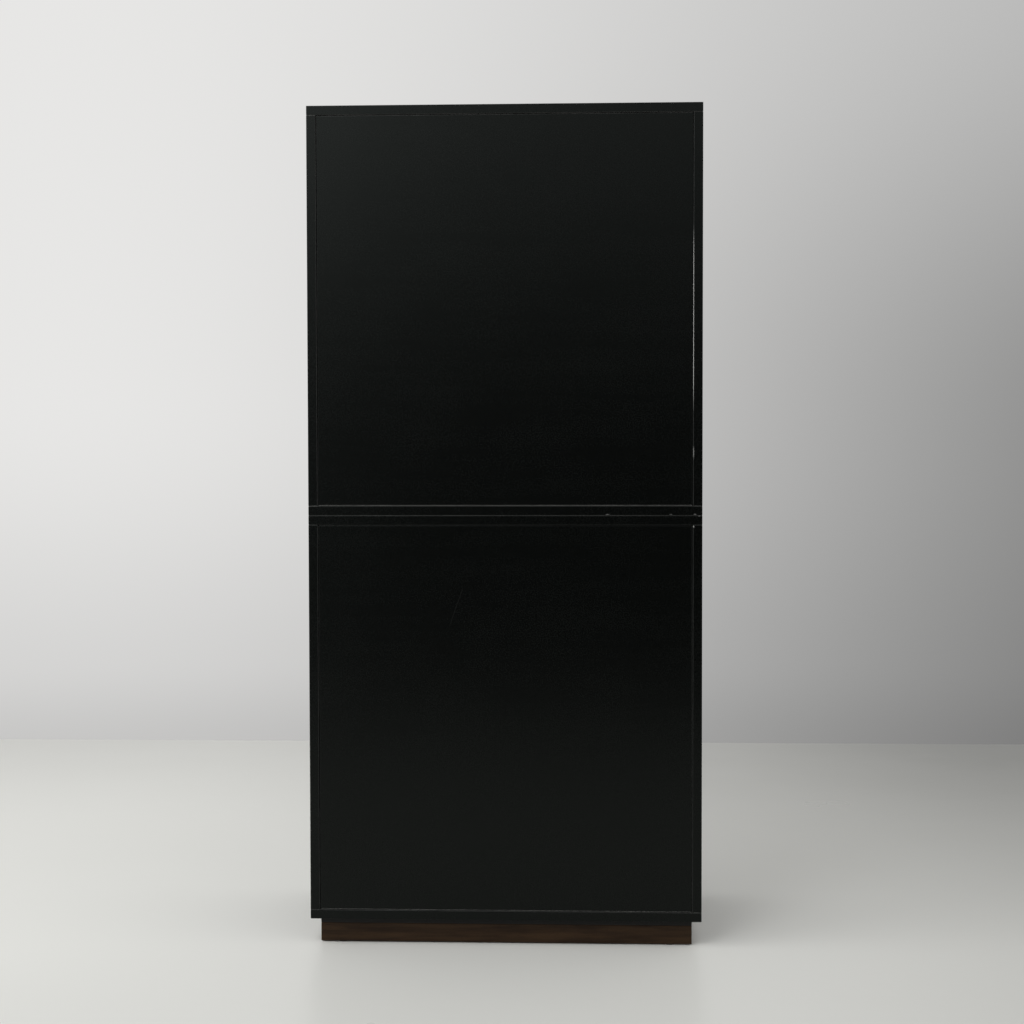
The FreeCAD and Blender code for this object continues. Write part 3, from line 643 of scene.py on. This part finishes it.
def dress_fittings():
    """Every other node, by the material slot that the record gives it."""
    bare = (BARE_ROUGHNESS, BARE_SPECULAR)
    matt_board = make_matt_board()
    finishes = {
        "back_board": matt_board,
        "plain_wood": make_wood("bare_softwood", GRAIN_ALONG_Z, SOFTWOOD_DARK, SOFTWOOD_PALE, *bare),
        "beech_dowel": make_wood("bare_beech", GRAIN_ALONG_Z, BEECH_DARK, BEECH_PALE, *bare),
        "black_hinge": make_metal(
            "black_plate", BLACKENED_DARK, HINGE_PALE, LONG_MARKS, roughness_low=0.30, mark_height=3e-6
        ),
        "plated_steel": make_metal(
            "zinc_plate", ZINC_DARK, ZINC_PALE, EVEN_MARKS, roughness_low=0.26, mark_height=2e-6
        ),
        "black_steel": make_metal(
            "black_oxide", BLACKENED_DARK, OXIDE_PALE, EVEN_MARKS, roughness_low=0.36, mark_height=2e-6
        ),
        "magnet": make_metal(
            "nickel_plate", NICKEL_DARK, NICKEL_PALE, EVEN_MARKS, roughness_low=0.18, mark_height=1e-6
        ),
        "black_plastic": make_plastic("black_plastic", PLASTIC_DARK, PLASTIC_PALE, grain_height=5e-6),
        "nylon_glide": make_plastic("dark_nylon", NYLON_DARK, NYLON_PALE, grain_height=3e-6),
    }
    # Painted light: the plinth's top board sits in the recess's shade, and takes the paler matt board to
    # make up for it
    dress("plinth_top_board", matt_board)
    for piece in frame["record"]["subparts"]:
        if piece["material_slot"] in finishes:
            dress(piece["node"], finishes[piece["material_slot"]])


def make_camera():
    """A camera that looks along +Y, then turned by its yaw, pitch and roll."""
    level = math.cos(CAMERA_PITCH)
    ahead = Vector((math.sin(CAMERA_YAW) * level, math.cos(CAMERA_YAW) * level, math.sin(CAMERA_PITCH)))
    sideways = Vector((math.cos(CAMERA_YAW), -math.sin(CAMERA_YAW), 0.0))
    upright = sideways.cross(ahead)
    right = sideways * math.cos(CAMERA_ROLL) + upright * math.sin(CAMERA_ROLL)
    up = right.cross(ahead)
    data = bpy.data.cameras.new("camera")
    data.lens = LENS_MM
    data.sensor_width = SENSOR_MM
    camera = bpy.data.objects.new("camera", data)
    turn = Matrix((right, up, -ahead)).transposed()
    camera.matrix_world = Matrix.Translation(CAMERA_PLACE) @ turn.to_4x4()
    bpy.context.scene.collection.objects.link(camera)
    bpy.context.scene.camera = camera


def make_stage_sheet(name, corners, material):
    """A flat four-cornered sheet that is part of the studio."""
    mesh = bpy.data.meshes.new(name)
    mesh.from_pydata(corners, [], [(0, 1, 2, 3)])
    mesh.materials.append(material)
    sheet = bpy.data.objects.new(name, mesh)
    bpy.context.scene.collection.objects.link(sheet)
    return sheet


def make_floor():
    """A pale, faintly glossy floor with painted shade: darker to the right, behind the object, far off and
    near the front.
    """
    material, nodes, shader = new_material("pale_floor", FLOOR_SPECULAR)
    place = nodes.place()
    across, away, _ = nodes.split(place)
    at_right = nodes.step(across, *RIGHT_SHADE_X)
    behind = nodes.math("MULTIPLY", nodes.step(across, *BEHIND_SHADE_X), nodes.step(away, *BEHIND_SHADE_Y))
    far_off = nodes.step(away, *FAR_SHADE_Y)
    less_at_right = nodes.step(across, *NEAR_SHADE_X, at_low=1.0, at_high=NEAR_SHADE_RIGHT_SHARE)
    nearby = nodes.math("MULTIPLY", nodes.fall(away, *NEAR_SHADE_Y), less_at_right)
    # Painted shade: how far the floor's colour is darkened at each place
    shade = nodes.weigh(
        (at_right, RIGHT_SHADE),
        (behind, BEHIND_SHADE),
        (far_off, FAR_SHADE),
        (nearby, NEAR_SHADE),
    )
    patches = nodes.noise(place, scale=3.0, detail=4.0)
    roughness = nodes.step(
        patches, low=0.2, high=0.8, at_low=FLOOR_ROUGHNESS_LEAST, at_high=FLOOR_ROUGHNESS_MOST
    )
    nodes.feed(shader.inputs["Base Color"], nodes.blend(shade, FLOOR_PALE, FLOOR_SHADED))
    nodes.feed(shader.inputs["Roughness"], roughness)
    corners = [
        (-FLOOR_HALF_WIDTH, FLOOR_FRONT, 0.0),
        (FLOOR_HALF_WIDTH, FLOOR_FRONT, 0.0),
        (FLOOR_HALF_WIDTH, FLOOR_BACK, 0.0),
        (-FLOOR_HALF_WIDTH, FLOOR_BACK, 0.0),
    ]
    make_stage_sheet("studio_floor", corners, material)


def make_screen():
    """The screen behind the camera. It glows by itself, and only reflections show it."""
    material, nodes, shader = new_material("studio_screen", specular=0.0)
    across, _, upward = nodes.split(nodes.place())
    dark = nodes.step(across, *SCREEN_DARK_X, at_low=SCREEN_DARK_LEFT, at_high=SCREEN_DARK_RIGHT)
    bright = nodes.step(across, *SCREEN_BRIGHT_X, at_low=SCREEN_BRIGHT_LEFT, at_high=SCREEN_BRIGHT_RIGHT)
    glow = nodes.math("ADD", dark, nodes.math("MULTIPLY", bright, nodes.step(upward, *SCREEN_BRIGHT_Z)))
    nodes.feed(shader.inputs["Emission Color"], nodes.vector("MULTIPLY", glow, SCREEN_TINT))
    shader.inputs["Emission Strength"].default_value = 1.0
    shader.inputs["Base Color"].default_value = (0.0, 0.0, 0.0, 1.0)
    corners = [
        (-SCREEN_HALF_WIDTH, SCREEN_Y, SCREEN_LOW),
        (SCREEN_HALF_WIDTH, SCREEN_Y, SCREEN_LOW),
        (SCREEN_HALF_WIDTH, SCREEN_Y, SCREEN_HIGH),
        (-SCREEN_HALF_WIDTH, SCREEN_Y, SCREEN_HIGH),
    ]
    make_stage_sheet("studio_screen", corners, material).visible_camera = False


def make_world():
    """A pale wall all round, with painted shade: darker at the right behind the object and at its foot,
    under a ceiling.
    """
    world = bpy.data.worlds.new("studio")
    bpy.context.scene.world = world
    world.use_nodes = True
    tree = world.node_tree
    tree.nodes.clear()
    nodes = Nodes(tree)
    across, away, upward = nodes.split(nodes.add("TexCoord").outputs["Generated"])
    # Painted shade: the wall darkened at the right and near its foot
    right_wall = nodes.blend(nodes.step(upward, *WALL_RIGHT_RISE), WALL_RIGHT, WALL_RIGHT_HIGH)
    shade = nodes.math("MULTIPLY", nodes.step(across, *WALL_RIGHT_BEGINS), nodes.step(away, *WALL_BEHIND))
    shade = nodes.math("MULTIPLY", shade, nodes.fall(across, *WALL_RIGHT_ENDS))
    wall = nodes.blend(shade, WALL_LEFT, right_wall)
    wall = nodes.vector("MULTIPLY", wall, nodes.step(upward, *WALL_FOOT, at_low=WALL_FOOT_LIGHT))
    wall = nodes.vector("MULTIPLY", wall, nodes.step(upward, *WALL_LINE, at_low=WALL_LINE_LIGHT))
    colour = nodes.blend(nodes.step(upward, *CEILING_RISE), wall, CEILING_COLOUR)
    background = nodes.add("Background")
    nodes.feed(background.inputs["Color"], colour)
    output = nodes.add("OutputWorld")
    tree.links.new(background.outputs[0], output.inputs["Surface"])


def make_light(name, place, target, size, power):
    """A round soft light that faces a point."""
    data = bpy.data.lights.new(name, "AREA")
    data.shape = "DISK"
    data.size = size
    data.energy = power
    light = bpy.data.objects.new(name, data)
    light.location = place
    light.rotation_mode = "QUATERNION"
    light.rotation_quaternion = (target - place).to_track_quat("-Z", "Y")
    bpy.context.scene.collection.objects.link(light)


make_camera()
make_floor()
make_screen()
make_world()
make_light("key_light", KEY_PLACE, KEY_TARGET, KEY_SIZE, KEY_POWER)
make_light("top_light", TOP_PLACE, TOP_TARGET, TOP_SIZE, TOP_POWER)
dress_boards()
dress_plinth()
dress_fittings()
bpy.context.scene.view_settings.view_transform = "Standard"
